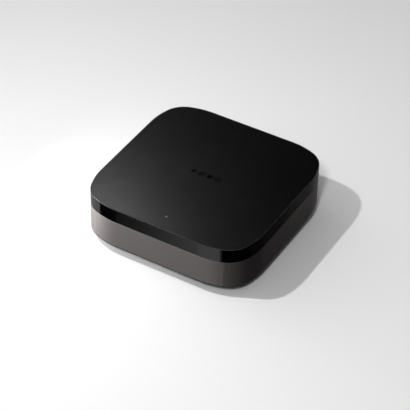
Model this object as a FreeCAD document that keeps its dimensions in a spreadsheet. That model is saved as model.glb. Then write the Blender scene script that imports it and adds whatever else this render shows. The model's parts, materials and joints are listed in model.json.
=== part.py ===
# Streaming media player: a low rounded-square puck with an infrared window band.
# Millimetres. Origin: centre of the footprint at the plane the rubber foot stands on.
# +Z up, -Y is the front (status light side), +Y is the rear (sockets and button).
import FreeCAD, Part
import Sketcher
import math
import os
from FreeCAD import Vector, Placement, Rotation

os.makedirs("parts", exist_ok=True)
doc = FreeCAD.newDocument("media_player")

# ---------------------------------------------------------------- dimensions
VALUES = [
    # outer form
    ("side_len", 105.0), ("corner_len", 26.4), ("corner_big", 42.6), ("corner_small", 15.5),
    ("z_rim", 6.0), ("z_shell", 6.8), ("z_seam", 24.2), ("z_top", 33.0),
    # housing
    ("wall_shell", 2.2), ("seam_chamfer", 0.3), ("shell_foot_fillet", 0.35),
    ("boss_pos", 41.8), ("boss_rad", 3.4), ("boss_low", 9.2), ("boss_high", 21.0), ("boss_hole", 1.1),
    ("rib_in", 57.6), ("rib_out", 64.3), ("rib_width", 2.4),
    # base
    ("rim_inset", 0.3), ("floor_inset", 2.4), ("floor_top", 8.0), ("lip_inset", 3.8),
    ("plinth_rad_high", 45.0), ("plinth_rad_low", 40.6), ("plinth_low", 1.2),
    ("dish_rad", 38.0), ("dish_floor", 3.2), ("under_rad", 30.0), ("under_depth", 0.5),
    ("foot_rad_out", 39.0), ("foot_rad_in", 34.0), ("foot_high", 2.2), ("foot_gap", 0.1),
    ("base_head_seat", 7.8), ("base_head_hole", 2.4), ("base_shank_hole", 1.35),
    ("stand_xf", 36.0), ("stand_yf", 33.0), ("stand_xr", 33.0), ("stand_yr", 36.0),
    ("stand_rad", 3.0), ("stand_hole", 1.0), ("board_low", 8.8), ("board_thick", 1.6),
    ("post_circle", 28.0), ("post_rad", 1.5), ("post_head", 2.4), ("ballast_top", 5.2), ("post_top", 5.9),
    ("ballast_rad", 37.4),
    # inner frame
    ("frame_out", 2.35), ("frame_in", 3.6), ("shelf_in", 7.5), ("frame_top", 26.0), ("shelf_low", 24.6),
    ("ear_top", 22.6),
    # band and lid
    ("band_in", 2.0), ("ledge_in", 4.8), ("ledge_low", 29.8), ("ledge_high", 31.2),
    ("recess_in", 0.5), ("lid_in", 0.54), ("lid_low", 31.4), ("tape_out", 1.2), ("tape_in", 4.4),
    ("band_edge", 0.16), ("lid_edge", 0.1),
    ("light_y", 42.35), ("light_hole", 0.43), ("light_rad", 0.4), ("light_flange", 1.2),
    ("mark_depth", 0.35), ("mark_gap", 0.03), ("mark_size", 3.6), ("mark_pitch", 4.9),
    # sensor board
    ("sboard_out", 4.0), ("sboard_in", 12.0), ("sboard_top", 27.2),
    # sockets
    ("eth_x", 11.0), ("eth_w", 16.0), ("eth_high", 12.2), ("sock_face", 51.2),
    ("hdmi_x", 8.5), ("usbc_x", 25.0), ("btn_x", 26.0), ("btn_z", 14.5),
    ("btn_hole", 2.55), ("btn_rad", 2.4), ("btn_flange", 3.3),
]
sheet = doc.addObject("Spreadsheet::Sheet", "Dims")
for row, (alias, value) in enumerate(VALUES, start=1):
    sheet.set("A%d" % row, alias)
    sheet.set("B%d" % row, repr(value))
    sheet.setAlias("B%d" % row, alias)
doc.recompute()


class E:
    """A number together with the sheet expression that gives it."""
    def __init__(self, v, s):
        self.v, self.s = float(v), s

    @staticmethod
    def of(o):
        return o if isinstance(o, E) else E(o, "%.6f" % o)

    def __add__(self, o): o = E.of(o); return E(self.v + o.v, "(%s + %s)" % (self.s, o.s))
    def __radd__(self, o): return E.of(o) + self
    def __sub__(self, o): o = E.of(o); return E(self.v - o.v, "(%s - %s)" % (self.s, o.s))
    def __rsub__(self, o): return E.of(o) - self
    def __mul__(self, o): o = E.of(o); return E(self.v * o.v, "(%s * %s)" % (self.s, o.s))
    def __rmul__(self, o): return E.of(o) * self
    def __truediv__(self, o): o = E.of(o); return E(self.v / o.v, "(%s / %s)" % (self.s, o.s))
    def __neg__(self): return E(-self.v, "(0 - %s)" % self.s)


class Dims:
    pass


P = Dims()
for alias, value in VALUES:
    setattr(P, alias, E(value, "Dims." + alias))
half = P.side_len / 2.0
board_top = P.board_low + P.board_thick
R45 = math.sqrt(0.5)

finals = []          # every sub-part object, in order


def bind(obj, prop, e):
    e = E.of(e)
    parts = prop.split(".")
    if len(parts) == 1:
        setattr(obj, prop, e.v)
    obj.setExpression(prop, e.s)


# ---------------------------------------------------------------- sketch helpers
def new_body(name):
    b = doc.addObject("PartDesign::Body", name)
    b.Label = name
    finals.append(b)
    return b


def plane(b, role):
    for f in b.Origin.OriginFeatures:
        if f.Role == role:
            return f
    raise RuntimeError("no plane " + role)


def new_sketch(b, role="XY_Plane", offset=0.0):
    s = b.newObject("Sketcher::SketchObject", b.Name + "_sketch")
    s.AttachmentSupport = [(plane(b, role), "")]
    s.MapMode = "FlatFace"
    off = E.of(offset)
    s.AttachmentOffset = Placement(Vector(0, 0, off.v), Rotation())
    s.setExpression("AttachmentOffset.Base.z", off.s)
    return s


def con(s, kind, args, e):
    e = E.of(e)
    i = s.addConstraint(Sketcher.Constraint(kind, *args, e.v))
    s.setExpression("Constraints[%d]" % i, e.s)


def coord(s, geo, pos, x=None, y=None):
    """Place one point of the geometry at x and y, bound to the sheet."""
    for axis, e in (("X", x), ("Y", y)):
        if e is None:
            continue
        e = E.of(e)
        if abs(e.v) < 1e-9:
            s.addConstraint(Sketcher.Constraint("PointOnObject", geo, pos, -2 if axis == "X" else -1))
        elif e.v > 0:
            con(s, "Distance" + axis, (-1, 1, geo, pos), e)
        else:
            con(s, "Distance" + axis, (geo, pos, -1, 1), -e)


def circle(s, x, y, r):
    x, y, r = E.of(x), E.of(y), E.of(r)
    g = s.addGeometry(Part.Circle(Vector(x.v, y.v, 0), Vector(0, 0, 1), r.v), False)
    con(s, "Radius", (g,), r)
    coord(s, g, 3, x, y)
    return g


def poly(s, pts):
    pts = [(E.of(a), E.of(b)) for a, b in pts]
    n = len(pts)
    gs = []
    for i in range(n):
        a, b = pts[i], pts[(i + 1) % n]
        gs.append(s.addGeometry(Part.LineSegment(Vector(a[0].v, a[1].v, 0), Vector(b[0].v, b[1].v, 0)), False))
    for i in range(n):
        s.addConstraint(Sketcher.Constraint("Coincident", gs[i], 2, gs[(i + 1) % n], 1))
    for i in range(n):
        coord(s, gs[i], 1, *pts[i])
    return gs


def rect(s, cx, cy, w, d):
    cx, cy, w, d = E.of(cx), E.of(cy), E.of(w), E.of(d)
    return poly(s, [(cx - w / 2, cy - d / 2), (cx + w / 2, cy - d / 2), (cx + w / 2, cy + d / 2), (cx - w / 2, cy + d / 2)])


def squircle(s, inset):
    """The rounded-square outline, set in by inset. Each corner is three tangent arcs:
    large, small, large. All insets share the same arc centres."""
    inset = E.of(inset)
    hh = half - inset
    ra, rb = P.corner_big - inset, P.corner_small - inset
    a = P.corner_len.v
    flat = half - P.corner_len
    R1, R2 = P.corner_big.v, P.corner_small.v
    # sweep of the outer arcs, from the corner's length and the two radii
    th = 0.3
    for _ in range(60):
        f = R1 * (math.sin(th) + 1 - math.cos(th)) + R2 * (math.cos(th) - math.sin(th)) - a
        df = R1 * (math.cos(th) + math.sin(th)) + R2 * (-math.sin(th) - math.cos(th))
        th -= f / df
    r1, r2 = ra.v, rb.v
    geo = []
    for k in range(4):                         # corner k is turned by 90 degrees each
        rot = math.radians(90 * k)

        def tr(x, y):
            return Vector(x * math.cos(rot) - y * math.sin(rot), x * math.sin(rot) + y * math.cos(rot), 0)
        # corner at +x,+y walked counter-clockwise: starts on the right side, ends on the top side
        fl = flat.v
        c1 = (half.v - R1, fl)                                   # large arc leaving the right side
        c2 = (c1[0] + (R1 - R2) * math.cos(th), c1[1] + (R1 - R2) * math.sin(th))
        c3 = (fl, half.v - R1)
        ang = math.radians(90)

        def arc(c, r, a0, a1):
            cc = tr(*c)
            return Part.ArcOfCircle(Part.Circle(cc, Vector(0, 0, 1), r), a0 + rot, a1 + rot)
        geo.append(("line", Part.LineSegment(tr(hh.v, -fl), tr(hh.v, fl))))
        geo.append(("big", arc(c1, r1, 0, th)))
        geo.append(("small", arc(c2, r2, th, ang - th)))
        geo.append(("big", arc(c3, r1, ang - th, ang)))
    ids = [s.addGeometry(g, False) for _, g in geo]
    n = len(ids)
    for i in range(n):
        s.addConstraint(Sketcher.Constraint("Tangent", ids[i], 2, ids[(i + 1) % n], 1))
    for k in range(4):
        s.addConstraint(Sketcher.Constraint("Vertical" if k % 2 == 0 else "Horizontal", ids[4 * k]))
    bigs = [i for i, (t, _) in zip(ids, geo) if t == "big"]
    smalls = [i for i, (t, _) in zip(ids, geo) if t == "small"]
    for other in bigs[1:]:
        s.addConstraint(Sketcher.Constraint("Equal", bigs[0], other))
    for other in smalls[1:]:
        s.addConstraint(Sketcher.Constraint("Equal", smalls[0], other))
    con(s, "Radius", (bigs[0],), ra)
    con(s, "Radius", (smalls[0],), rb)
    for k in range(4):
        line = ids[4 * k]
        if k == 0:
            coord(s, line, 1, hh, -flat); coord(s, line, 2, None, flat)
        elif k == 1:
            coord(s, line, 1, flat, hh); coord(s, line, 2, -flat, None)
        elif k == 2:
            coord(s, line, 1, -hh, flat); coord(s, line, 2, None, -flat)
        else:
            coord(s, line, 1, -flat, -hh); coord(s, line, 2, flat, None)
    return ids


# ---------------------------------------------------------------- feature helpers
def check(o):
    doc.recompute()
    if "Invalid" in o.State or "Error" in o.State or o.Shape.isNull() or not o.Shape.isValid():
        raise RuntimeError("%s failed: %s" % (o.Name, o.State))


def volume(b):
    return b.Shape.Volume if b.Tip is not None and not b.Shape.isNull() else 0.0


def pad(b, s, length, down=False):
    v0 = volume(b)
    f = b.newObject("PartDesign::Pad", b.Name + "_pad")
    f.Profile = s
    f.Reversed = down
    bind(f, "Length", length)
    check(f)
    if volume(b) <= v0 + 1e-6:
        raise RuntimeError(f.Name + " adds nothing")
    return f


def pocket(b, s, length, up=False):
    """Cuts towards the sketch's back (down on an XY sketch) unless up."""
    v0 = volume(b)
    f = b.newObject("PartDesign::Pocket", b.Name + "_pocket")
    f.Profile = s
    f.Reversed = up
    bind(f, "Length", length)
    check(f)
    if volume(b) >= v0 - 1e-6:
        raise RuntimeError(f.Name + " cuts nothing")
    return f


def edges_where(shape, test):
    names = []
    for i, e in enumerate(shape.Edges, start=1):
        if test(e):
            names.append("Edge%d" % i)
    return names


def at_z(z, rmin=0.0, rmax=1e9):
    """Edges lying in the plane z, with their middle between two distances from the outline's
    centre, measured as the larger of |x| and |y|."""
    def t(e):
        bb = e.BoundBox
        if abs(bb.ZMin - z) > 1e-4 or abs(bb.ZMax - z) > 1e-4:
            return False
        m = e.valueAt(0.5 * (e.FirstParameter + e.LastParameter))
        d = math.hypot(m.x, m.y)
        return rmin <= d <= rmax
    return t


def dress(b, kind, test, size):
    base = b.Tip
    names = edges_where(base.Shape, test)
    if not names:
        raise RuntimeError("no edges for " + b.Name)
    f = b.newObject("PartDesign::" + kind, b.Name + "_" + kind.lower())
    f.Base = (base, names)
    bind(f, "Radius" if kind == "Fillet" else "Size", size)
    check(f)
    return f


# Part primitives, bound to the sheet
def box(name, x0, y0, z0, w, d, hgt):
    o = doc.addObject("Part::Box", name)
    bind(o, "Length", w); bind(o, "Width", d); bind(o, "Height", hgt)
    x0, y0, z0 = E.of(x0), E.of(y0), E.of(z0)
    o.Placement = Placement(Vector(x0.v, y0.v, z0.v), Rotation())
    for ax, e in zip("xyz", (x0, y0, z0)):
        o.setExpression("Placement.Base." + ax, e.s)
    return o


def cbox(name, cx, cy, z0, w, d, hgt):
    cx, cy, w, d = E.of(cx), E.of(cy), E.of(w), E.of(d)
    return box(name, cx - w / 2, cy - d / 2, z0, w, d, hgt)


def cyl(name, x, y, z0, r, hgt, axis="z"):
    o = doc.addObject("Part::Cylinder", name)
    bind(o, "Radius", r); bind(o, "Height", hgt)
    x, y, z0 = E.of(x), E.of(y), E.of(z0)
    rot = {"z": Rotation(), "y": Rotation(Vector(1, 0, 0), -90), "x": Rotation(Vector(0, 1, 0), 90)}[axis]
    o.Placement = Placement(Vector(x.v, y.v, z0.v), rot)
    for ax, e in zip("xyz", (x, y, z0)):
        o.setExpression("Placement.Base." + ax, e.s)
    return o


def cut(name, base, tool):
    o = doc.addObject("Part::Cut", name)
    o.Base, o.Tool = base, tool
    return o


def fuse(name, *objs):
    o = doc.addObject("Part::MultiFuse", name)
    o.Shapes = list(objs)
    return o


def fillet(name, base, r, test=None):
    """Rounds the base object's edges that pass the test (all by default)."""
    doc.recompute()
    o = doc.addObject("Part::Fillet", name)
    o.Base = base
    o.Edges = [(i, r, r) for i, e in enumerate(base.Shape.Edges, start=1) if test is None or test(e)]
    return o


def vertical(e):
    return e.BoundBox.ZLength > 1e-3 and e.BoundBox.XLength < 1e-6 and e.BoundBox.YLength < 1e-6


def group(name, objs):
    o = doc.addObject("Part::Compound", name)
    o.Links = list(objs)
    o.Label = name
    finals.append(o)
    return o


def final(o, name):
    o.Label = name
    finals.append(o)
    return o


def pan_screw(name, x, y, seat, head_r, head_h, shank_r, shank_len, up=True):
    """A pan-head screw with a cross recess. up: the head is above the seat."""
    x, y, seat = E.of(x), E.of(y), E.of(seat)
    if up:
        head = cyl(name + "_head", x, y, seat, head_r, head_h)
        shank = cyl(name + "_shank", x, y, seat - shank_len, shank_r, shank_len)
        top = seat + head_h
        s1 = cbox(name + "_s1", x, y, top - 0.8, 2.2, 0.45, 1.0)
        s2 = cbox(name + "_s2", x, y, top - 0.8, 0.45, 2.2, 1.0)
    else:
        head = cyl(name + "_head", x, y, seat - head_h, head_r, head_h)
        shank = cyl(name + "_shank", x, y, seat, shank_r, shank_len)
        low = seat - head_h
        s1 = cbox(name + "_s1", x, y, low - 0.2, 2.2, 0.45, 1.0)
        s2 = cbox(name + "_s2", x, y, low - 0.2, 0.45, 2.2, 1.0)
    doc.recompute()
    hf = fillet(name + "_round", head, 0.5,
                lambda e: abs(e.BoundBox.ZMin - ((seat.v + head_h) if up else (seat.v - head_h))) < 1e-4
                and e.BoundBox.ZLength < 1e-4)
    body = fuse(name + "_body", hf, shank)
    tool = fuse(name + "_cross", s1, s2)
    return cut(name, body, tool)


CORNERS = [(1, 1), (-1, 1), (-1, -1), (1, -1)]

# ---------------------------------------------------------------- lower housing
b = new_body("lower_housing")
s = new_sketch(b, offset=P.z_shell); squircle(s, 0.0)
pad(b, s, P.z_seam - P.z_shell)
s = new_sketch(b, offset=P.z_seam); squircle(s, P.wall_shell)
pocket(b, s, P.z_seam - P.z_shell)
dress(b, "Chamfer", at_z(P.z_seam.v, 51.9), P.seam_chamfer)
dress(b, "Fillet", at_z(P.z_shell.v, 51.9), P.shell_foot_fillet)
s = new_sketch(b, offset=P.boss_low)
hw = P.rib_width * (R45 / 2)
a0, a1 = P.rib_in * R45, P.rib_out * R45
for sx, sy in CORNERS:
    poly(s, [(sx * (a0 + hw), sy * (a0 - hw)), (sx * (a1 + hw), sy * (a1 - hw)),
             (sx * (a1 - hw), sy * (a1 + hw)), (sx * (a0 - hw), sy * (a0 + hw))])
pad(b, s, P.boss_high - P.boss_low)
s = new_sketch(b, offset=P.boss_low)
for sx, sy in CORNERS:
    circle(s, sx * P.boss_pos, sy * P.boss_pos, P.boss_rad)
pad(b, s, P.boss_high - P.boss_low)
s = new_sketch(b, offset=P.boss_high)
for sx, sy in CORNERS:
    circle(s, sx * P.boss_pos, sy * P.boss_pos, P.boss_hole)
pocket(b, s, P.boss_high - P.boss_low)
# rear cut-outs, from inside the wall outwards (a sketch on XZ at y = 49 cuts towards +Y)
s = new_sketch(b, "XZ_Plane", -(half - 3.5))
rect(s, P.eth_x, board_top + P.eth_high / 2, P.eth_w + 0.7, P.eth_high + 0.7)
poly(s, [(-P.hdmi_x - 7.85, 13.2 - 0.9), (-P.hdmi_x - 5.75, 10.1), (-P.hdmi_x + 5.75, 10.1), (-P.hdmi_x + 7.85, 13.2 - 0.9),
         (-P.hdmi_x + 7.85, 16.35), (-P.hdmi_x - 7.85, 16.35)])
rect(s, -P.usbc_x, 12.05, 5.75, 3.9)
circle(s, P.btn_x, P.btn_z, P.btn_hole)
pocket(b, s, 5.0)
s = new_sketch(b, "XZ_Plane", -(half - 3.5))
circle(s, -P.usbc_x - 2.875, 12.05, 1.95)
circle(s, -P.usbc_x + 2.875, 12.05, 1.95)
pocket(b, s, 5.0)

# ---------------------------------------------------------------- base plate
b = new_body("base_plate")
s = new_sketch(b, offset=P.z_rim); squircle(s, P.rim_inset)
pad(b, s, P.z_shell - P.z_rim)
s = new_sketch(b, offset=P.z_shell); squircle(s, P.floor_inset)
pad(b, s, P.boss_low - P.z_shell)
s = new_sketch(b, offset=P.boss_low); squircle(s, P.lip_inset)
pocket(b, s, P.boss_low - P.floor_top)
# tapered round plinth below the rim
s = new_sketch(b, "XZ_Plane", 0.0)
poly(s, [(0.0, P.plinth_low), (P.plinth_rad_low, P.plinth_low), (P.plinth_rad_low + 1.1, P.plinth_low + 0.9),
         (P.plinth_rad_high, P.z_rim + 0.01), (0.0, P.z_rim + 0.01)])
rev = b.newObject("PartDesign::Revolution", "base_plinth")
rev.Profile = s
rev.ReferenceAxis = (s, ["V_Axis"])
rev.Angle = 360.0
check(rev)
s = new_sketch(b, offset=P.floor_top); circle(s, 0.0, 0.0, P.dish_rad)
pocket(b, s, P.floor_top - P.dish_floor)
s = new_sketch(b, offset=P.plinth_low)
circle(s, 0.0, 0.0, P.foot_rad_out + P.foot_gap); circle(s, 0.0, 0.0, P.foot_rad_in - P.foot_gap)
pocket(b, s, P.foot_high - P.plinth_low, up=True)
s = new_sketch(b, offset=P.plinth_low); circle(s, 0.0, 0.0, P.under_rad)
pocket(b, s, P.under_depth, up=True)
s = new_sketch(b, offset=P.floor_top)
for sx, sy in CORNERS:
    circle(s, sx * P.boss_pos, sy * P.boss_pos, P.boss_rad)
pad(b, s, P.boss_low - P.floor_top)
s = new_sketch(b, offset=P.floor_top)
for sx in (1, -1):
    circle(s, sx * P.stand_xf, -P.stand_yf, P.stand_rad)
    circle(s, sx * P.stand_xr, P.stand_yr, P.stand_rad)
pad(b, s, P.board_low - P.floor_top)
s = new_sketch(b, offset=P.board_low)
for sx in (1, -1):
    circle(s, sx * P.stand_xf, -P.stand_yf, P.stand_hole)
    circle(s, sx * P.stand_xr, P.stand_yr, P.stand_hole)
pocket(b, s, 2.2)
s = new_sketch(b, offset=P.z_rim)
for sx, sy in CORNERS:
    circle(s, sx * P.boss_pos, sy * P.boss_pos, P.base_head_hole)
pocket(b, s, P.base_head_seat - P.z_rim, up=True)
s = new_sketch(b, offset=P.z_rim)
for sx, sy in CORNERS:
    circle(s, sx * P.boss_pos, sy * P.boss_pos, P.base_shank_hole)
pocket(b, s, P.boss_low - P.z_rim, up=True)
s = new_sketch(b, offset=P.dish_floor)
posts = [(math.cos(math.radians(t)), math.sin(math.radians(t))) for t in (90, 210, 330)]
for cx, cy in posts:
    circle(s, P.post_circle * cx, P.post_circle * cy, P.post_rad)
pad(b, s, P.ballast_top - P.dish_floor)
s = new_sketch(b, offset=P.ballast_top)
for cx, cy in posts:
    circle(s, P.post_circle * cx, P.post_circle * cy, P.post_head)
pad(b, s, P.post_top - P.ballast_top)
dress(b, "Fillet", at_z(P.z_rim.v, 51.5), 0.3)

# rubber foot ring in the plinth's groove
b = new_body("rubber_foot_ring")
s = new_sketch(b)
circle(s, 0.0, 0.0, P.foot_rad_out); circle(s, 0.0, 0.0, P.foot_rad_in)
pad(b, s, P.foot_high)
dress(b, "Fillet", at_z(0.0), 0.35)

# steel weight, held by the three heat-staked posts
b = new_body("ballast_plate")
s = new_sketch(b, offset=P.dish_floor)
circle(s, 0.0, 0.0, P.ballast_rad)
pad(b, s, P.ballast_top - P.dish_floor)
s = new_sketch(b, offset=P.ballast_top)
for cx, cy in posts:
    circle(s, P.post_circle * cx, P.post_circle * cy, P.post_rad + 0.1)
pocket(b, s, P.ballast_top - P.dish_floor)

# ---------------------------------------------------------------- inner frame
b = new_body("inner_frame")
s = new_sketch(b, offset=P.boss_high); squircle(s, P.frame_out)
pad(b, s, P.frame_top - P.boss_high)
s = new_sketch(b, offset=P.frame_top); squircle(s, P.shelf_in)
pocket(b, s, P.frame_top - P.boss_high)
s = new_sketch(b, offset=P.boss_high); squircle(s, P.frame_in)
pocket(b, s, P.shelf_low - P.boss_high, up=True)
s = new_sketch(b, offset=P.boss_high)
for sx, sy in CORNERS:
    circle(s, sx * P.boss_pos, sy * P.boss_pos, P.boss_rad)
pad(b, s, P.ear_top - P.boss_high)
s = new_sketch(b, offset=P.boss_high)
for sx, sy in CORNERS:
    circle(s, sx * P.boss_pos, sy * P.boss_pos, P.base_shank_hole)
pocket(b, s, P.ear_top - P.boss_high, up=True)
s = new_sketch(b, offset=P.frame_top)
for sx, sy in CORNERS:
    circle(s, sx * P.boss_pos, sy * P.boss_pos, 2.7)
pocket(b, s, P.frame_top - P.ear_top)
s = new_sketch(b, offset=P.boss_high)                     # notch over the tall network socket
rect(s, P.eth_x, half - 3.5, P.eth_w + 1.2, 8.0)
pocket(b, s, 2.2, up=True)
s = new_sketch(b, offset=P.frame_top)                     # sensor board screw holes
SB = [(24.0, half - 5.9), (-24.0, half - 5.9), (24.0, -(half - 5.9)), (-24.0, -(half - 5.9))]
for x, y in SB:
    circle(s, x, y, 0.9)
pocket(b, s, P.frame_top - P.shelf_low)

# ---------------------------------------------------------------- infrared window band
b = new_body("ir_window_band")
s = new_sketch(b, offset=P.z_seam); squircle(s, 0.0)
pad(b, s, P.z_top - P.z_seam)
s = new_sketch(b, offset=P.z_top); squircle(s, P.recess_in)
pocket(b, s, P.z_top - P.ledge_high)
s = new_sketch(b, offset=P.z_seam); squircle(s, P.band_in)
pocket(b, s, P.ledge_low - P.z_seam, up=True)
s = new_sketch(b, offset=P.ledge_high); squircle(s, P.ledge_in)
pocket(b, s, P.ledge_high - P.ledge_low)
dress(b, "Fillet", at_z(P.z_top.v, 52.3), P.band_edge)

# ---------------------------------------------------------------- lid, its tape and its inlaid marks
b = new_body("lid_adhesive")
s = new_sketch(b, offset=P.ledge_high); squircle(s, P.tape_out)
pad(b, s, P.lid_low - P.ledge_high)
s = new_sketch(b, offset=P.lid_low); squircle(s, P.tape_in + 0.0)
pocket(b, s, P.lid_low - P.ledge_high)


def marks(s, grow):
    """Four plain media symbols in a row along X: play, pause, stop and record ring."""
    m, p, g = P.mark_size, P.mark_pitch, E.of(grow)
    x = -p * 1.5
    poly(s, [(x - m * 0.42 - g, -m / 2 - g * 1.7), (x + m * 0.5 + g * 2.0, 0.0), (x - m * 0.42 - g, m / 2 + g * 1.7)])
    x = -p * 0.5
    for k in (-1, 1):
        rect(s, x + m * (0.27 * k), 0.0, m * 0.29 + g * 2, m + g * 2)
    x = p * 0.5
    rect(s, x, 0.0, m * 0.88 + g * 2, m * 0.88 + g * 2)
    x = p * 1.5
    circle(s, x, 0.0, m * 0.5 + g)
    circle(s, x, 0.0, m * 0.29 - g)


b = new_body("top_lid")
s = new_sketch(b, offset=P.lid_low); squircle(s, P.lid_in)
pad(b, s, P.z_top - P.lid_low)
dress(b, "Chamfer", at_z(P.z_top.v, 51.0), P.lid_edge)
s = new_sketch(b, offset=P.z_top); circle(s, 0.0, -P.light_y, P.light_hole)
pocket(b, s, P.z_top - P.lid_low)
s = new_sketch(b, offset=P.z_top); marks(s, P.mark_gap)
pocket(b, s, P.mark_depth)

m, p, x = P.mark_size, P.mark_pitch, None
zl, zh = P.z_top - P.mark_depth, P.mark_depth - 0.06
inlays = []
for idx in range(4):
    bb = doc.addObject("PartDesign::Body", "mark_%d" % idx)
    s = new_sketch(bb, offset=zl)
    if idx == 0:
        x = -p * 1.5
        poly(s, [(x - m * 0.42, -m / 2), (x + m * 0.5, 0.0), (x - m * 0.42, m / 2)])
    elif idx == 1:
        x = -p * 0.5
        rect(s, x - m * 0.27, 0.0, m * 0.29, m)
    elif idx == 2:
        rect(s, p * 0.5, 0.0, m * 0.88, m * 0.88)
    else:
        circle(s, p * 1.5, 0.0, m * 0.5); circle(s, p * 1.5, 0.0, m * 0.29)
    pad(bb, s, zh)
    inlays.append(bb)
bb = doc.addObject("PartDesign::Body", "mark_4")
s = new_sketch(bb, offset=zl)
rect(s, -p * 0.5 + m * 0.27, 0.0, m * 0.29, m)
pad(bb, s, zh)
inlays.append(bb)
group("lid_symbols", inlays)

# ---------------------------------------------------------------- status light pipe
b = new_body("status_light_pipe")
s = new_sketch(b, offset=28.2); circle(s, 0.0, -P.light_y, P.light_flange)
pad(b, s, 0.8)
s = new_sketch(b, offset=29.0); circle(s, 0.0, -P.light_y, P.light_rad)
pad(b, s, P.z_top - 29.0)
final(fillet("status_led", cbox("status_led_body", 0.0, -P.light_y, P.sboard_top, 1.6, 0.8, 0.7), 0.12, vertical), "status_led")

# ---------------------------------------------------------------- fasteners
group("base_screws", [pan_screw("base_screw_%d" % i, sx * P.boss_pos, sy * P.boss_pos, P.base_head_seat, 2.2, 1.5, 1.04, 8.0, up=False)
                      for i, (sx, sy) in enumerate(CORNERS)])
group("frame_screws", [pan_screw("frame_screw_%d" % i, sx * P.boss_pos, sy * P.boss_pos, P.ear_top, 2.2, 1.5, 1.04, 5.6)
                       for i, (sx, sy) in enumerate(CORNERS)])
BS = [(P.stand_xf, -P.stand_yf), (-P.stand_xf, -P.stand_yf), (P.stand_xr, P.stand_yr), (-P.stand_xr, P.stand_yr)]
group("board_screws", [pan_screw("board_screw_%d" % i, x, y, board_top, 2.3, 1.5, 0.94, 3.6) for i, (x, y) in enumerate(BS)])
group("sensor_board_screws", [pan_screw("sensor_screw_%d" % i, x, y, P.sboard_top, 1.7, 1.2, 0.84, 3.2) for i, (x, y) in enumerate(SB)])

# ---------------------------------------------------------------- main board
b = new_body("main_board")
s = new_sketch(b, offset=P.board_low)
poly(s, [(-38.0, -38.0), (38.0, -38.0), (42.0, -34.0), (42.0, 35.0), (30.0, 47.0), (-30.0, 47.0), (-42.0, 35.0), (-42.0, -34.0)])
pad(b, s, P.board_thick)
s = new_sketch(b, offset=board_top)
for x, y in BS:
    circle(s, x, y, 1.35)
for x, y in ((-25.0, 15.0), (17.0, -19.0)):
    circle(s, x, y, 1.5)
pocket(b, s, P.board_thick)

b = new_body("sensor_board")
s = new_sketch(b, offset=P.frame_top); squircle(s, P.sboard_out)
pad(b, s, P.sboard_top - P.frame_top)
s = new_sketch(b, offset=P.sboard_top); squircle(s, P.sboard_in)
pocket(b, s, P.sboard_top - P.frame_top)
s = new_sketch(b, offset=P.sboard_top)
for x, y in SB:
    circle(s, x, y, 1.1)
pocket(b, s, P.sboard_top - P.frame_top)


def chip(name, x, y, w, d, hgt, z=None, r=0.25):
    return fillet(name, cbox(name + "_block", x, y, board_top if z is None else z, w, d, hgt), r, vertical)


final(chip("soc_chip", -4.0, 2.0, 15.0, 15.0, 1.2), "soc_chip")
final(chip("thermal_pad", -4.0, 2.0, 14.0, 14.0, 0.8, z=board_top + 1.2, r=0.8), "thermal_pad")
group("memory_chips", [chip("memory_%d" % i, 11.0, y, 10.0, 13.0, 1.0) for i, y in enumerate((-8.0, 8.0))])
final(chip("flash_chip", -20.0, 3.0, 11.5, 13.0, 1.0), "flash_chip")
final(chip("power_chip", -30.0, 24.0, 6.0, 6.0, 0.9), "power_chip")
group("power_inductors", [chip("inductor_%d" % i, -34.0, y, 5.0, 5.0, 3.0, r=0.9) for i, y in enumerate((14.0, 7.0, 0.0))])
caps = []
for i, (x, y) in enumerate(((-34.0, -8.0), (-34.0, -16.0), (-22.5, 28.0), (28.0, 28.0))):
    can = cyl("cap_can_%d" % i, x, y, board_top + 0.6, 3.15, 5.6)
    foot = cbox("cap_foot_%d" % i, x, y, board_top, 6.6, 6.6, 0.6)
    caps.append(fuse("cap_%d" % i, can, foot))
group("polymer_capacitors", caps)
final(chip("clock_crystal", 27.0, 14.0, 3.2, 2.5, 0.8), "clock_crystal")
final(chip("ethernet_transformer", 11.0, 25.5, 12.8, 9.5, 5.2, r=0.4), "ethernet_transformer")
final(chip("wifi_module", 30.0, -21.0, 16.0, 14.0, 0.8, r=0.2), "wifi_module")
can = chip("wifi_can_out", 30.0, -21.0, 15.0, 13.0, 1.8, z=board_top + 0.8, r=0.6)
can_in = cbox("wifi_can_in", 30.0, -21.0, board_top + 0.8, 14.4, 12.4, 1.5)
final(cut("wifi_shield", can, can_in), "wifi_shield")
ants = []
for i, sx in enumerate((1, -1)):
    x0 = 40.0 if sx > 0 else -40.3
    strip = box("ant_strip_%d" % i, x0, -14.0, board_top + 2.2, 0.3, 20.0, 5.0)
    leg1 = box("ant_leg_%da" % i, x0, -14.0, board_top, 0.3, 1.6, 2.2)
    leg2 = box("ant_leg_%db" % i, x0, -8.0, board_top, 0.3, 1.6, 2.2)
    ants.append(fuse("antenna_%d" % i, strip, leg1, leg2))
group("stamped_antennas", ants)
smd = []
for i in range(12):
    for j, y in enumerate((-27.5, -31.5)):
        smd.append(box("smd_%d_%d" % (i, j), -27.0 + 3.6 * i, y, board_top, 1.6, 0.8, 0.6))
for i in range(6):
    smd.append(box("smd_r_%d" % i, -22.0 + 2.8 * i, 21.0, board_top, 0.8, 1.6, 0.6))
group("board_passives", smd)

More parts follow.
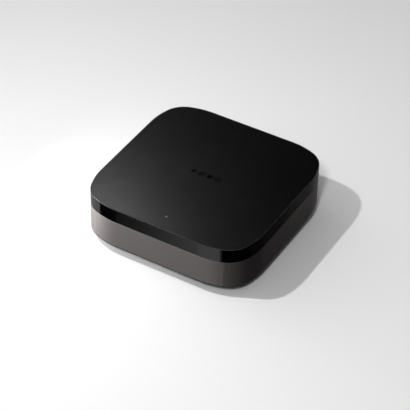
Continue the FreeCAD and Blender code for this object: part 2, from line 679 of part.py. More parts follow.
# heat sink: a base with a row of fins, held by two push pins
b = new_body("heat_sink")
s = new_sketch(b, offset=board_top + 2.0); rect(s, -4.0, -2.0, 48.0, 40.0)
pad(b, s, 7.6)
s = new_sketch(b, "XZ_Plane", 22.5)
rect(s, -24.6, board_top + 7.0, 2.4, 6.0)
pk = pocket(b, s, 41.0)
lp = b.newObject("PartDesign::LinearPattern", "heat_sink_slots")
lp.Originals = [pk]
lp.Direction = (s, ["H_Axis"])
lp.Length = 40.8
lp.Occurrences = 11
b.Tip = lp
check(lp)
s = new_sketch(b, offset=board_top + 9.6)
for x, y in ((-25.0, 15.0), (17.0, -19.0)):
    circle(s, x, y, 3.4)
pocket(b, s, 5.6)
s = new_sketch(b, offset=board_top + 4.0)
for x, y in ((-25.0, 15.0), (17.0, -19.0)):
    circle(s, x, y, 1.5)
pocket(b, s, 2.5)
pins = []
for i, (x, y) in enumerate(((-25.0, 15.0), (17.0, -19.0))):
    sh = cyl("pin_shaft_%d" % i, x, y, P.board_low - 0.9, 1.35, 6.6)
    hd = cyl("pin_head_%d" % i, x, y, board_top + 4.0, 2.6, 1.2)
    bb_ = cyl("pin_barb_%d" % i, x, y, P.board_low - 0.9, 1.9, 0.8)
    pins.append(fuse("push_pin_%d" % i, sh, hd, bb_))
group("heat_sink_pins", pins)

# ribbon between the two boards and its sockets
sk_low = chip("ribbon_socket_low", 0.0, -35.5, 10.0, 3.0, 1.5, r=0.2)
sk_high = chip("ribbon_socket_high", 0.0, -42.75, 10.0, 3.5, 1.5, z=P.frame_top - 1.5, r=0.2)
group("ribbon_sockets", [sk_low, sk_high])
b = new_body("ribbon_cable")
s = new_sketch(b, "YZ_Plane", -4.0)
poly(s, [(-37.0, 11.0), (-38.9, 11.0), (-38.9, 25.1), (-41.0, 25.1), (-41.0, 25.4), (-38.6, 25.4), (-38.6, 11.3), (-37.0, 11.3)])
pad(b, s, 8.0)

# ---------------------------------------------------------------- infrared parts on the sensor board
body_ir = cbox("ir_receiver_block", -12.0, -44.6, P.sboard_top, 6.2, 2.8, 3.6)
lens_ir = cyl("ir_receiver_lens", -12.0, -47.2, P.sboard_top + 1.3, 1.3, 1.4, axis="y")
final(fuse("ir_receiver", body_ir, lens_ir), "ir_receiver")
leds = []
for i, (x, y, d) in enumerate(((45.0, -16.0, (1, 0)), (45.0, 16.0, (1, 0)), (-45.0, -16.0, (-1, 0)), (-45.0, 16.0, (-1, 0)),
                               (12.0, 45.0, (0, 1)), (-12.0, 45.0, (0, 1)))):
    w, dd = (2.2, 3.0) if d[0] else (3.0, 2.2)
    blk = cbox("ir_led_block_%d" % i, x, y, P.sboard_top, w, dd, 2.4)
    if d[0]:
        lens = cyl("ir_led_lens_%d" % i, x + (1.0 if d[0] > 0 else -2.0), y, P.sboard_top + 1.2, 0.9, 1.0, axis="x")
    else:
        lens = cyl("ir_led_lens_%d" % i, x, y + 1.0, P.sboard_top + 1.2, 0.9, 1.0, axis="y")
    leds.append(fuse("ir_led_%d" % i, blk, lens))
group("ir_emitters", leds)

# ---------------------------------------------------------------- network socket
zc = board_top
shell_y0 = P.sock_face - 18.2
b = new_body("ethernet_jack_shell")
s = new_sketch(b, "XZ_Plane", -P.sock_face); rect(s, P.eth_x, zc + P.eth_high / 2, P.eth_w, P.eth_high)
pad(b, s, 18.2)
s = new_sketch(b, "XZ_Plane", -P.sock_face); rect(s, P.eth_x, zc + P.eth_high / 2, P.eth_w - 0.6, P.eth_high - 0.6)
pocket(b, s, 17.9, up=True)
b = new_body("ethernet_jack_core")
s = new_sketch(b, "XZ_Plane", -(P.sock_face - 0.3)); rect(s, P.eth_x, zc + P.eth_high / 2, P.eth_w - 0.66, P.eth_high - 0.66)
pad(b, s, 17.5)
s = new_sketch(b, "XZ_Plane", -(P.sock_face - 0.3)); rect(s, P.eth_x, zc + 5.7, 11.8, 6.8)
pocket(b, s, 13.0, up=True)
s = new_sketch(b, "XZ_Plane", -(P.sock_face - 0.3)); rect(s, P.eth_x, zc + 1.7, 6.4, 1.2)
pocket(b, s, 9.0, up=True)
s = new_sketch(b, "XZ_Plane", -(P.sock_face - 0.3))
rect(s, P.eth_x - 5.6, zc + 10.55, 3.0, 1.5); rect(s, P.eth_x + 5.6, zc + 10.55, 3.0, 1.5)
pocket(b, s, 6.0, up=True)
group("ethernet_contacts", [cbox("eth_pin_%d" % i, P.eth_x - 3.57 + 1.02 * i, P.sock_face - 7.6, zc + 8.3, 0.45, 8.0, 0.5) for i in range(8)])
group("link_lights", [fillet("link_light_%d" % i, cbox("link_block_%d" % i, P.eth_x + 5.6 * k, P.sock_face - 3.2, zc + 9.85, 2.9, 5.6, 1.4), 0.15,
                             lambda e: e.BoundBox.ZLength < 1e-6 and e.BoundBox.YLength < 1e-6 and e.BoundBox.YMax > 50)
                      for i, k in enumerate((-1, 1))])

# ---------------------------------------------------------------- display socket
hx = -P.hdmi_x


def hdmi_outline(s, g):
    g = E.of(g)
    poly(s, [(hx - 7.5 + g, zc + 1.95 + g * 0.4), (hx - 5.4 + g * 0.4, zc + g), (hx + 5.4 - g * 0.4, zc + g), (hx + 7.5 - g, zc + 1.95 + g * 0.4),
             (hx + 7.5 - g, zc + 5.6 - g), (hx - 7.5 + g, zc + 5.6 - g)])


b = new_body("hdmi_shell")
s = new_sketch(b, "XZ_Plane", -P.sock_face); hdmi_outline(s, 0.0)
pad(b, s, 12.0)
s = new_sketch(b, "XZ_Plane", -P.sock_face); hdmi_outline(s, 0.4)
pocket(b, s, 11.7, up=True)
b = new_body("hdmi_tongue")
s = new_sketch(b, "XZ_Plane", -(P.sock_face - 9.0)); hdmi_outline(s, 0.45)
pad(b, s, 2.6)
s = new_sketch(b, "XZ_Plane", -(P.sock_face - 9.0)); rect(s, hx, zc + 3.0, 11.2, 1.7)
pad(b, s, 8.0, down=True)
pinsd = [cbox("hdmi_pin_a%d" % i, hx - 4.5 + 1.0 * i, P.sock_face - 5.2, zc + 3.85, 0.35, 6.8, 0.12) for i in range(10)]
pinsd += [cbox("hdmi_pin_b%d" % i, hx - 4.0 + 1.0 * i, P.sock_face - 5.2, zc + 2.03, 0.35, 6.8, 0.12) for i in range(9)]
group("hdmi_contacts", pinsd)

# ---------------------------------------------------------------- power socket


def stadium(s, x, z, w, hh):
    """A flat-sided oval: two half circles joined by straight sides."""
    x, z, w, hh = E.of(x), E.of(z), E.of(w), E.of(hh)
    r = hh / 2
    xl, xr = x - w / 2 + r, x + w / 2 - r
    c1 = Part.ArcOfCircle(Part.Circle(Vector(xr.v, z.v, 0), Vector(0, 0, 1), r.v), -math.pi / 2, math.pi / 2)
    c2 = Part.ArcOfCircle(Part.Circle(Vector(xl.v, z.v, 0), Vector(0, 0, 1), r.v), math.pi / 2, 3 * math.pi / 2)
    l1 = Part.LineSegment(Vector(xr.v, z.v + r.v, 0), Vector(xl.v, z.v + r.v, 0))
    l2 = Part.LineSegment(Vector(xl.v, z.v - r.v, 0), Vector(xr.v, z.v - r.v, 0))
    g = [s.addGeometry(k, False) for k in (c1, l1, c2, l2)]
    for i in range(4):
        s.addConstraint(Sketcher.Constraint("Tangent", g[i], 2, g[(i + 1) % 4], 1))
    coord(s, g[0], 3, xr, z)
    coord(s, g[2], 3, xl, None)
    con(s, "Radius", (g[0],), r)
    s.addConstraint(Sketcher.Constraint("Horizontal", g[1]))


ux = -P.usbc_x
b = new_body("power_socket_shell")
s = new_sketch(b, "XZ_Plane", -P.sock_face); stadium(s, ux, zc + 1.65, 8.94, 3.26)
pad(b, s, 8.0)
s = new_sketch(b, "XZ_Plane", -P.sock_face); stadium(s, ux, zc + 1.65, 8.34, 2.66)
pocket(b, s, 7.7, up=True)
b = new_body("power_socket_tongue")
s = new_sketch(b, "XZ_Plane", -(P.sock_face - 5.2)); stadium(s, ux, zc + 1.65, 8.26, 2.58)
pad(b, s, 2.4)
s = new_sketch(b, "XZ_Plane", -(P.sock_face - 5.2)); rect(s, ux, zc + 1.65, 6.7, 0.7)
pad(b, s, 4.6, down=True)

# ---------------------------------------------------------------- pairing and reset button
by0 = 46.4
b = new_body("pairing_button")
s = new_sketch(b, "XZ_Plane", -(half - 0.25)); circle(s, P.btn_x, P.btn_z, P.btn_rad)
pad(b, s, half - 0.25 - by0)
s = new_sketch(b, "XZ_Plane", -49.9); circle(s, P.btn_x, P.btn_z, P.btn_flange)
pad(b, s, 1.0)
s = new_sketch(b, "XZ_Plane", -(half - 0.25)); circle(s, P.btn_x, P.btn_z, P.btn_rad - 0.7)
pocket(b, s, 0.25, up=True)
dress(b, "Fillet", lambda e: e.BoundBox.YLength < 1e-4 and abs(e.BoundBox.YMin - 52.25) < 1e-3 and e.BoundBox.XLength > 4.5, 0.25)
b = new_body("switch_plunger")
s = new_sketch(b, "XZ_Plane", -by0); circle(s, P.btn_x, P.btn_z, 1.6)
pad(b, s, 2.3)
b = new_body("tact_switch")
s = new_sketch(b, "XZ_Plane", -44.6); rect(s, P.btn_x, zc + 3.6, 6.0, 7.2)
pad(b, s, 4.0)
s = new_sketch(b, "XZ_Plane", -44.6); circle(s, P.btn_x, P.btn_z, 1.7)
pocket(b, s, 1.2, up=True)

# ---------------------------------------------------------------- checks and export
doc.recompute()
bad = [o.Name + " " + str(o.State) for o in doc.Objects if "Invalid" in o.State or "Error" in o.State]
if bad:
    raise RuntimeError("failed objects: " + "; ".join(bad))
for o in finals:
    sh = o.Shape
    if sh.isNull() or not sh.isValid() or not sh.Solids or sh.Volume <= 0:
        raise RuntimeError("bad shape: " + o.Label)
names = [o.Label for o in finals]
if len(set(names)) != len(names):
    raise RuntimeError("two sub-parts share a name")
for o in finals:
    o.Shape.exportStep("parts/%s.step" % o.Label)
    bb = o.Shape.BoundBox
    print("%-22s solids %2d  volume %9.2f  x %7.2f %7.2f  y %7.2f %7.2f  z %6.2f %6.2f" % (
        o.Label, len(o.Shape.Solids), o.Shape.Volume, bb.XMin, bb.XMax, bb.YMin, bb.YMax, bb.ZMin, bb.ZMax))
print(len(finals), "sub-parts written")
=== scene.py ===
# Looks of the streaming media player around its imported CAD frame. Metres, +Z up, -Y is the front.
import bpy, bmesh, json, math, random
from mathutils import Vector, Matrix

random.seed(7)
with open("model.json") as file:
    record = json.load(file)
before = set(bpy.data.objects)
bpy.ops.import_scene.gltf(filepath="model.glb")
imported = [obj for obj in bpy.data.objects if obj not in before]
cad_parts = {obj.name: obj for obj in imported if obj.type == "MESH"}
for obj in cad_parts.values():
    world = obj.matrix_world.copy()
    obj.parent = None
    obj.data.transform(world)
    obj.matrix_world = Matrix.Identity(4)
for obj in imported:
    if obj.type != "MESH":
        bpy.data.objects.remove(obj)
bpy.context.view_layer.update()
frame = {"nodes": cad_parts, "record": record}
nodes = frame["nodes"]
scene = bpy.context.scene
scene.view_settings.view_transform = "Standard"
scene.view_settings.look = "None"
scene.view_settings.exposure = 0.0
scene.view_settings.gamma = 1.0


# ------------------------------------------------------------------ node helpers
def new_mat(name):
    m = bpy.data.materials.new(name)
    m.use_nodes = True
    nt = m.node_tree
    return m, nt, nt.nodes["Principled BSDF"]


def put(bsdf, **kw):
    names = {"base": "Base Color", "rough": "Roughness", "metal": "Metallic", "ior": "IOR", "coat": "Coat Weight",
             "coat_rough": "Coat Roughness", "spec": "Specular IOR Level", "sheen": "Sheen Weight",
             "emit": "Emission Color", "emit_s": "Emission Strength", "aniso": "Anisotropic", "alpha": "Alpha",
             "trans": "Transmission Weight", "sss": "Subsurface Weight", "sss_scale": "Subsurface Scale"}
    for k, v in kw.items():
        bsdf.inputs[names[k]].default_value = (*v, 1.0) if isinstance(v, tuple) and len(v) == 3 else v


def coords(nt, scale=(1, 1, 1)):
    tc = nt.nodes.new("ShaderNodeTexCoord")
    mp = nt.nodes.new("ShaderNodeMapping")
    mp.inputs["Scale"].default_value = scale
    nt.links.new(tc.outputs["Object"], mp.inputs["Vector"])
    return mp.outputs["Vector"]


def noise(nt, vec, scale, detail=2.0, rough=0.5):
    n = nt.nodes.new("ShaderNodeTexNoise")
    n.inputs["Scale"].default_value = scale
    n.inputs["Detail"].default_value = detail
    n.inputs["Roughness"].default_value = rough
    nt.links.new(vec, n.inputs["Vector"])
    return n.outputs["Fac"]


def voronoi(nt, vec, scale, feature="F1"):
    n = nt.nodes.new("ShaderNodeTexVoronoi")
    n.feature = feature
    n.inputs["Scale"].default_value = scale
    nt.links.new(vec, n.inputs["Vector"])
    return n.outputs["Distance"]


def ramp(nt, fac, stops, kind="LINEAR"):
    r = nt.nodes.new("ShaderNodeValToRGB")
    r.color_ramp.interpolation = kind
    els = r.color_ramp.elements
    while len(els) < len(stops):
        els.new(0.5)
    for e, (p, c) in zip(els, stops):
        e.position = p
        e.color = (*c, 1) if len(c) == 3 else c
    nt.links.new(fac, r.inputs["Fac"])
    return r.outputs["Color"]


def maprange(nt, v, a, b, c, d):
    m = nt.nodes.new("ShaderNodeMapRange")
    for i, x in zip(("From Min", "From Max", "To Min", "To Max"), (a, b, c, d)):
        m.inputs[i].default_value = x
    nt.links.new(v, m.inputs["Value"])
    return m.outputs["Result"]


def math_node(nt, op, a, b=None):
    m = nt.nodes.new("ShaderNodeMath")
    m.operation = op
    for i, x in enumerate((a, b)):
        if x is None:
            continue
        if isinstance(x, (int, float)):
            m.inputs[i].default_value = x
        else:
            nt.links.new(x, m.inputs[i])
    return m.outputs[0]


def bump(nt, bsdf, height, strength, dist, normal="Normal"):
    b = nt.nodes.new("ShaderNodeBump")
    b.inputs["Strength"].default_value = strength
    b.inputs["Distance"].default_value = dist
    nt.links.new(height, b.inputs["Height"])
    nt.links.new(b.outputs["Normal"], bsdf.inputs[normal])
    return b


# ------------------------------------------------------------------ materials
def satin_lid():
    m, nt, b = new_mat("satin_black_lid")
    put(b, base=(0.0006, 0.0006, 0.00062), rough=0.265, spec=0.5)
    v = coords(nt)
    grain = noise(nt, v, 9000.0, 2.0, 0.6)
    cloud = noise(nt, v, 28.0, 3.0, 0.5)
    r = math_node(nt, "ADD", maprange(nt, grain, 0.3, 0.7, -0.012, 0.012), maprange(nt, cloud, 0.3, 0.7, 0.259, 0.271))
    nt.links.new(r, b.inputs["Roughness"])
    col = ramp(nt, cloud, [(0.3, (0.0005, 0.0005, 0.00052)), (0.7, (0.0007, 0.0007, 0.00072))])
    nt.links.new(col, b.inputs["Base Color"])
    bump(nt, b, grain, 0.06, 0.00001)
    return m


def gloss_band():
    m, nt, b = new_mat("polished_ir_black")
    put(b, base=(0.0008, 0.0007, 0.0007), rough=0.03, ior=2.0, spec=0.5)
    v = coords(nt)
    haze = noise(nt, v, 60.0, 4.0, 0.6)
    polish = maprange(nt, haze, 0.3, 0.75, 0.018, 0.045)
    # the narrow rim round the lid is textured in the mould, not polished, and its rounded edge is matt
    tc = nt.nodes.new("ShaderNodeTexCoord")
    sep = nt.nodes.new("ShaderNodeSeparateXYZ")
    nt.links.new(tc.outputs["Object"], sep.inputs[0])
    edge = maprange(nt, sep.outputs["Z"], 0.03286, 0.03290, 0.0, 0.40)
    top = maprange(nt, sep.outputs["Z"], 0.03294, 0.03298, 0.0, -0.07)
    rim = math_node(nt, "ADD", edge, top)
    nt.links.new(math_node(nt, "ADD", polish, rim), b.inputs["Roughness"])
    return m


def gunmetal():
    m, nt, b = new_mat("satin_gunmetal")
    put(b, base=(0.299, 0.275, 0.269), rough=0.40, metal=1.0)
    v = coords(nt)
    flake = voronoi(nt, v, 6000.0)
    fine = noise(nt, v, 5200.0, 2.0, 0.6)
    cloud = noise(nt, v, 22.0, 3.0, 0.5)
    col = ramp(nt, flake, [(0.0, (0.311, 0.286, 0.280)), (0.8, (0.275, 0.252, 0.247))])
    # painted shade: below the lower lip the base colour turns near black, so the underside and lower edge read as the
    # deep shadow under the overhang
    tc = nt.nodes.new("ShaderNodeTexCoord")
    sep = nt.nodes.new("ShaderNodeSeparateXYZ")
    nt.links.new(tc.outputs["Object"], sep.inputs[0])
    underside_shade_mix = nt.nodes.new("ShaderNodeMix")
    underside_shade_mix.data_type = "RGBA"
    # near-black colour of the painted underside shade
    underside_shade_mix.inputs["A"].default_value = (0.012, 0.012, 0.012, 1.0)
    nt.links.new(maprange(nt, sep.outputs["Z"], 0.00602, 0.00612, 0.0, 1.0), underside_shade_mix.inputs["Factor"])
    nt.links.new(col, underside_shade_mix.inputs["B"])
    nt.links.new(underside_shade_mix.outputs["Result"], b.inputs["Base Color"])
    r = math_node(nt, "ADD", maprange(nt, fine, 0.3, 0.7, -0.02, 0.02), maprange(nt, cloud, 0.3, 0.7, 0.393, 0.407))
    nt.links.new(r, b.inputs["Roughness"])
    bump(nt, b, fine, 0.10, 0.00001)
    return m


def moulded_black(name, base=(0.014, 0.014, 0.0145), rough=0.55, grain=3500.0, depth=0.00006, strength=0.5):
    m, nt, b = new_mat(name)
    put(b, base=base, rough=rough)
    v = coords(nt)
    g = noise(nt, v, grain, 3.0, 0.65)
    c = noise(nt, v, 30.0, 3.0)
    nt.links.new(maprange(nt, c, 0.3, 0.7, rough - 0.04, rough + 0.05), b.inputs["Roughness"])
    k = 0.88
    nt.links.new(ramp(nt, g, [(0.3, tuple(x * k for x in base)), (0.7, tuple(x * 1.12 for x in base))]), b.inputs["Base Color"])
    bump(nt, b, g, strength, depth)
    return m


def rubber():
    m, nt, b = new_mat("matt_rubber")
    put(b, base=(0.02, 0.02, 0.021), rough=0.8, spec=0.35)
    v = coords(nt)
    g = noise(nt, v, 2600.0, 4.0, 0.7)
    d = noise(nt, v, 260.0, 3.0, 0.6)
    nt.links.new(ramp(nt, d, [(0.35, (0.018, 0.018, 0.019)), (0.75, (0.027, 0.027, 0.027))]), b.inputs["Base Color"])
    nt.links.new(maprange(nt, g, 0.3, 0.7, 0.74, 0.88), b.inputs["Roughness"])
    bump(nt, b, g, 0.45, 0.00008)
    return m


def metal(name, base, rough, brush=(1, 1, 1), scale=900.0, metallic=1.0, strength=0.15):
    m, nt, b = new_mat(name)
    put(b, base=base, rough=rough, metal=metallic)
    v = coords(nt, brush)
    g = noise(nt, v, scale, 3.0, 0.6)
    nt.links.new(maprange(nt, g, 0.3, 0.7, rough - 0.06, rough + 0.08), b.inputs["Roughness"])
    nt.links.new(ramp(nt, g, [(0.3, tuple(x * 0.92 for x in base)), (0.7, tuple(min(1, x * 1.05) for x in base))]), b.inputs["Base Color"])
    bump(nt, b, g, strength, 0.00003)
    return m


def board():
    m, nt, b = new_mat("solder_mask_green")
    put(b, base=(0.012, 0.075, 0.04), rough=0.35, coat=0.4, coat_rough=0.2)
    v = coords(nt)
    # thin copper runs under the mask, as offset rows
    w = nt.nodes.new("ShaderNodeTexBrick")
    w.inputs["Scale"].default_value = 160.0
    w.inputs["Color1"].default_value = (0.012, 0.075, 0.04, 1)
    w.inputs["Color2"].default_value = (0.014, 0.085, 0.046, 1)
    w.inputs["Mortar"].default_value = (0.03, 0.16, 0.085, 1)
    w.inputs["Mortar Size"].default_value = 0.012
    nt.links.new(v, w.inputs["Vector"])
    nt.links.new(w.outputs["Color"], b.inputs["Base Color"])
    g = noise(nt, v, 800.0, 2.0)
    nt.links.new(maprange(nt, g, 0.3, 0.7, 0.28, 0.42), b.inputs["Roughness"])
    bump(nt, b, w.outputs["Fac"], 0.1, 0.00003)
    return m


def glow_tip():
    m, nt, b = new_mat("light_guide_white")
    put(b, base=(0.34, 0.35, 0.36), rough=0.35, emit=(0.92, 0.96, 1.0), emit_s=0.045)
    v = coords(nt)
    g = noise(nt, v, 1500.0, 2.0)
    nt.links.new(maprange(nt, g, 0.3, 0.7, 0.3, 0.42), b.inputs["Roughness"])
    nt.links.new(ramp(nt, g, [(0.3, (0.32, 0.33, 0.34)), (0.7, (0.36, 0.37, 0.38))]), b.inputs["Base Color"])
    return m


def amber():
    m, nt, b = new_mat("link_light_amber")
    put(b, base=(0.55, 0.38, 0.08), rough=0.25, coat=0.5, coat_rough=0.1)
    v = coords(nt)
    g = noise(nt, v, 900.0, 3.0)
    nt.links.new(ramp(nt, g, [(0.3, (0.48, 0.33, 0.07)), (0.7, (0.66, 0.5, 0.14))]), b.inputs["Base Color"])
    nt.links.new(maprange(nt, g, 0.3, 0.7, 0.2, 0.32), b.inputs["Roughness"])
    return m


def gloss_mark():
    m, nt, b = new_mat("gloss_black_inlay")
    put(b, base=(0.0012, 0.0012, 0.00125), rough=0.13)
    v = coords(nt)
    g = noise(nt, v, 700.0, 3.0)
    nt.links.new(maprange(nt, g, 0.3, 0.7, 0.11, 0.15), b.inputs["Roughness"])
    return m


slots = {
    "lid_black": satin_lid(), "mark_gloss": gloss_mark(), "window_black": gloss_band(), "housing_gunmetal": gunmetal(),
    "base_black": moulded_black("base_spark_texture"), "foot_rubber": rubber(),
    "steel": metal("zinc_steel", (0.55, 0.55, 0.56), 0.32), "socket_steel": metal("nickel_sheet", (0.62, 0.60, 0.57), 0.26, (1, 6, 1)),
    "board_green": board(), "chip_black": moulded_black("epoxy_package", (0.022, 0.022, 0.024), 0.5, 2200.0),
    "heat_alu": metal("extruded_aluminium", (0.70, 0.71, 0.73), 0.3, (1, 0.05, 1), 2200.0, strength=0.3),
    "pad_grey": moulded_black("thermal_silicone", (0.28, 0.30, 0.36), 0.7, 1200.0),
    "cap_can": metal("capacitor_can", (0.68, 0.68, 0.70), 0.28), "passive_tan": moulded_black("fired_ceramic", (0.30, 0.21, 0.13), 0.45, 2500.0),
    "socket_plastic": moulded_black("socket_plastic", (0.010, 0.010, 0.011), 0.42, 1800.0, 0.00003, 0.3),
    "contact_gold": metal("contact_gold", (0.83, 0.60, 0.25), 0.22), "link_amber": amber(), "light_white": glow_tip(),
    "ribbon_white": moulded_black("ribbon_film", (0.62, 0.62, 0.60), 0.4, 900.0),
    "button_black": moulded_black("button_satin", (0.012, 0.012, 0.0125), 0.42, 3000.0, 0.00004, 0.35),
    "switch_black": moulded_black("switch_body", (0.02, 0.02, 0.021), 0.5, 1800.0),
    "tape_grey": moulded_black("foam_tape", (0.05, 0.05, 0.05), 0.85, 900.0),
}
for sp in frame["record"]["subparts"]:
    o = nodes[sp["node"]]
    mat = slots[sp["material_slot"]]
    o.data.materials.clear()
    o.data.materials.append(mat)

# ------------------------------------------------------------------ floor
def floor_mat():
    m, nt, b = new_mat("pale_table")
    put(b, base=(0.86, 0.86, 0.86), rough=0.6, spec=0.0)
    v = coords(nt)
    g = noise(nt, v, 3.0, 3.0)
    nt.links.new(ramp(nt, g, [(0.3, (0.855, 0.855, 0.855)), (0.7, (0.875, 0.875, 0.875))]), b.inputs["Base Color"])
    return m


me = bpy.data.meshes.new("floor")
S = 4.0
me.from_pydata([(-S, -S, 0), (S, -S, 0), (S, S, 0), (-S, S, 0)], [], [(0, 1, 2, 3)])
floor = bpy.data.objects.new("floor", me)
scene.collection.objects.link(floor)
floor.data.materials.append(floor_mat())
floor.visible_glossy = False

# ------------------------------------------------------------------ studio light
world = bpy.data.worlds.new("studio")
scene.world = world
world.use_nodes = True
wn = world.node_tree
wn.nodes.clear()
wout = wn.nodes.new("ShaderNodeOutputWorld")
tc = wn.nodes.new("ShaderNodeTexCoord")
sep = wn.nodes.new("ShaderNodeSeparateXYZ")
wn.links.new(tc.outputs["Generated"], sep.inputs[0])
az = math_node(wn, "ARCTAN2", sep.outputs["Y"], sep.outputs["X"])
az = math_node(wn, "DIVIDE", math_node(wn, "ADD", az, math.pi), 2 * math.pi)     # 0..1, where 0 and 1 are the -X direction


def deg(d):
    """Azimuth in degrees (0 = +X, 90 = +Y) to a place on the studio ramp."""
    return ((d + 180.0) % 360.0) / 360.0


WALLS = [(105, .12), (120, .25), (140, .36), (156, .43), (204.3, .43), (206, .004), (235.5, .008), (236.6, .02), (237.1, .045),
         (237.7, .078), (238.3, .12), (239.0, .182), (239.9, .278), (242, .312), (255, .342), (274.5, .345), (276.5, .001),
         (360, .001), (385, .002), (397, .009), (417, .011), (423.2, .015), (423.6, .022), (424.1, .06), (424.4, .08), (441, .098)]
mirror_row = ramp(wn, az, sorted((deg(d), (v, v, v)) for d, v in WALLS))
AROUND = [(108, 0.17), (202, 0.17), (208, 0.14), (232, 0.21), (238, 0.31), (272, 0.31), (278, 0.19), (317, 0.19), (323, 0.13), (357, 0.12),
          (363, 0.05), (407, 0.05), (413, 0.0), (460, 0.0)]
rest = ramp(wn, az, sorted((deg(d), (v, v, v)) for d, v in AROUND))
z = sep.outputs["Z"]
row = math_node(wn, "MULTIPLY", maprange(wn, z, -0.7314, -0.6947, 0.0, 1.0), maprange(wn, z, -0.5299, -0.5736, 0.0, 1.0))
mixrow = wn.nodes.new("ShaderNodeMix")
mixrow.data_type = "RGBA"
wn.links.new(row, mixrow.inputs["Factor"])
wn.links.new(rest, mixrow.inputs["A"])
wn.links.new(mirror_row, mixrow.inputs["B"])
lower = mixrow.outputs["Result"]
# above the horizon: broad soft white, with the back left kept dark for the lid
UPPER = [(-180, 0.05), (-140, 0.28), (-60, 0.34), (-20, 0.16), (10, 0.05), (35, 0.0), (172, 0.0), (180, 0.05)]
upper = ramp(wn, az, [((d + 180) / 360, (v, v, v)) for d, v in UPPER])
# behind the part, near the horizon, a pale wall; overhead, a soft panel
WALL = [(20, 0.0), (50, 0.06), (68, 0.40), (112, 0.46), (135, 0.34), (160, 0.17), (200, 0.17), (206, 0.0)]
wall = ramp(wn, az, sorted((deg(d), (v, v, v)) for d, v in WALL))
lowz = math_node(wn, "MULTIPLY", maprange(wn, z, -0.50, -0.42, 0.0, 1.0), ramp(wn, az, sorted((deg(d), (v, v, v)) for d, v in
                 [(25, 0), (60, 1), (150, 1), (200, 0)])))
mixlow = wn.nodes.new("ShaderNodeMix")
mixlow.data_type = "RGBA"
wn.links.new(lowz, mixlow.inputs["Factor"])
wn.links.new(lower, mixlow.inputs["A"])
wn.links.new(wall, mixlow.inputs["B"])
# a dimmer one beyond the right side, nearer the horizon
rightz = math_node(wn, "MULTIPLY", maprange(wn, z, -0.38, -0.30, 0.0, 1.0), ramp(wn, az, sorted((deg(d), (v, v, v)) for d, v in
                   [(-70, 0), (-45, 1), (45, 1), (60, 0)])))
mixright = wn.nodes.new("ShaderNodeMix")
mixright.data_type = "RGBA"
wn.links.new(rightz, mixright.inputs["Factor"])
wn.links.new(mixlow.outputs["Result"], mixright.inputs["A"])
mixright.inputs["B"].default_value = (0.07, 0.07, 0.07, 1.0)
mixtop = wn.nodes.new("ShaderNodeMix")
mixtop.data_type = "RGBA"
mixtop.inputs["B"].default_value = (0.35, 0.35, 0.35, 1.0)
wn.links.new(maprange(wn, z, 0.84, 0.95, 0.0, 1.0), mixtop.inputs["Factor"])
wn.links.new(upper, mixtop.inputs["A"])
mixud = wn.nodes.new("ShaderNodeMix")
mixud.data_type = "RGBA"
wn.links.new(maprange(wn, sep.outputs["Z"], -0.06, 0.10, 0.0, 1.0), mixud.inputs["Factor"])
wn.links.new(mixright.outputs["Result"], mixud.inputs["A"])
wn.links.new(mixtop.outputs["Result"], mixud.inputs["B"])
bg_gloss = wn.nodes.new("ShaderNodeBackground")
wn.links.new(mixud.outputs["Result"], bg_gloss.inputs["Color"])
# soft room light on the diffuse side: twelve sectors of 30 degrees from +X, in four bands of height, brightest from the left and front
SOFT = [[0.08, 0.08, 0.25, 0.60, 1.90, 2.20, 1.20, 0.20, 0.08, 0.08, 0.08, 0.08],
        [0.08, 0.08, 0.30, 0.40, 1.55, 2.35, 1.50, 1.16, 0.20, 0.08, 0.08, 0.08],
        [0.08, 0.08, 0.30, 0.20, 0.30, 0.90, 1.05, 0.08, 0.65, 0.08, 0.08, 0.08],
        [0.08, 0.08, 0.08, 0.08, 0.08, 0.08, 0.26, 0.58, 0.40, 0.60, 0.08, 0.08]]
soft = None
for band, edge in zip(SOFT, (None, 0.208, 0.469, 0.766)):
    stops = sorted((deg(15 + 30 * k), (v, v, v)) for k, v in enumerate(band))
    half = tuple((a + b) / 2 for a, b in zip(stops[0][1], stops[-1][1]))
    col = ramp(wn, az, [(0.0, half)] + stops + [(1.0, half)])
    if soft is None:
        soft = col
        continue
    mx = wn.nodes.new("ShaderNodeMix")
    mx.data_type = "RGBA"
    wn.links.new(maprange(wn, sep.outputs["Z"], edge - 0.03, edge + 0.03, 0.0, 1.0), mx.inputs["Factor"])
    wn.links.new(soft, mx.inputs["A"])
    wn.links.new(col, mx.inputs["B"])
    soft = mx.outputs["Result"]
bg_all = wn.nodes.new("ShaderNodeBackground")
wn.links.new(soft, bg_all.inputs["Color"])
bg_all.inputs["Strength"].default_value = 1.0
lp = wn.nodes.new("ShaderNodeLightPath")
mixw = wn.nodes.new("ShaderNodeMixShader")
wn.links.new(lp.outputs["Is Glossy Ray"], mixw.inputs[0])
wn.links.new(bg_all.outputs[0], mixw.inputs[1])
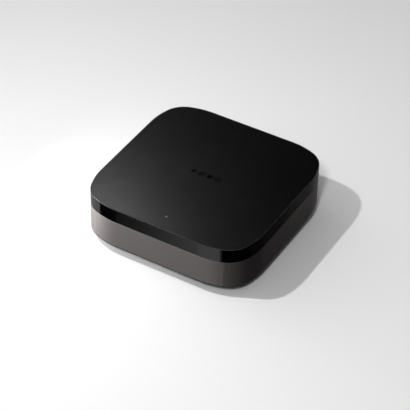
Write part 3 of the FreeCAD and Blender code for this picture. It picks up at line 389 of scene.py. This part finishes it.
wn.links.new(bg_gloss.outputs[0], mixw.inputs[2])
wn.links.new(mixw.outputs[0], wout.inputs["Surface"])


def area(name, loc, target, size, power, size_y=None, diffuse=True, gloss=True, color=(1, 1, 1)):
    l = bpy.data.lights.new(name, "AREA")
    l.energy = power
    l.shape = "RECTANGLE" if size_y else "DISK"
    l.size = size
    if size_y:
        l.size_y = size_y
    l.color = color
    o = bpy.data.objects.new(name, l)
    scene.collection.objects.link(o)
    o.visible_camera = False
    o.visible_diffuse = diffuse
    o.visible_glossy = gloss
    o.location = loc
    o.rotation_euler = (Vector(target) - Vector(loc)).to_track_quat("-Z", "Y").to_euler()
    return o


key = area("key", (-0.155, -0.142, 0.368), (0.0, 0.0, 0.0), 0.016, 0.900, gloss=False)
fill = area("fill", (0.3861, -1.1538, 1.3047), (0.0, 0.0, 0.0), 0.220, 11.359, gloss=False)
low_left = area("low_left", (-0.115, -0.0495, 0.0125), (-0.03, -0.0485, 0.0), 0.010, 0.100, gloss=False)
lid_sheen = area("lid_sheen", (-0.3153, 0.3319, 0.508), (0.0, 0.0, 0.033), 0.05, 0.25, diffuse=False)
corner_glow = area("corner_glow", (-0.2372, -0.1661, 0.0090), (-0.03, -0.045, 0.015), 0.014, 2.25, diffuse=False)
side_glow = area("side_glow", (0.0980, 0.0530, 0.009), (0.0525, 0.02, 0.015), 0.026, 0.0020, diffuse=False)

# ------------------------------------------------------------------ camera
cam_data = bpy.data.cameras.new("camera")
cam = bpy.data.objects.new("camera", cam_data)
scene.collection.objects.link(cam)
right, up, fwd = Vector((0.86046, 0.50916, 0.01927)), Vector((-0.33704, 0.54041, 0.77095)), Vector((-0.38212, 0.66986, -0.63661))
cam.matrix_world = Matrix(((right.x, up.x, -fwd.x, 0.41054), (right.y, up.y, -fwd.y, -0.71992), (right.z, up.z, -fwd.z, 0.69555), (0, 0, 0, 1)))
cam_data.sensor_width = 36.0
cam_data.lens = 166.891
cam_data.clip_start = 0.01
cam_data.clip_end = 30.0
scene.camera = cam

bpy.context.view_layer.update()
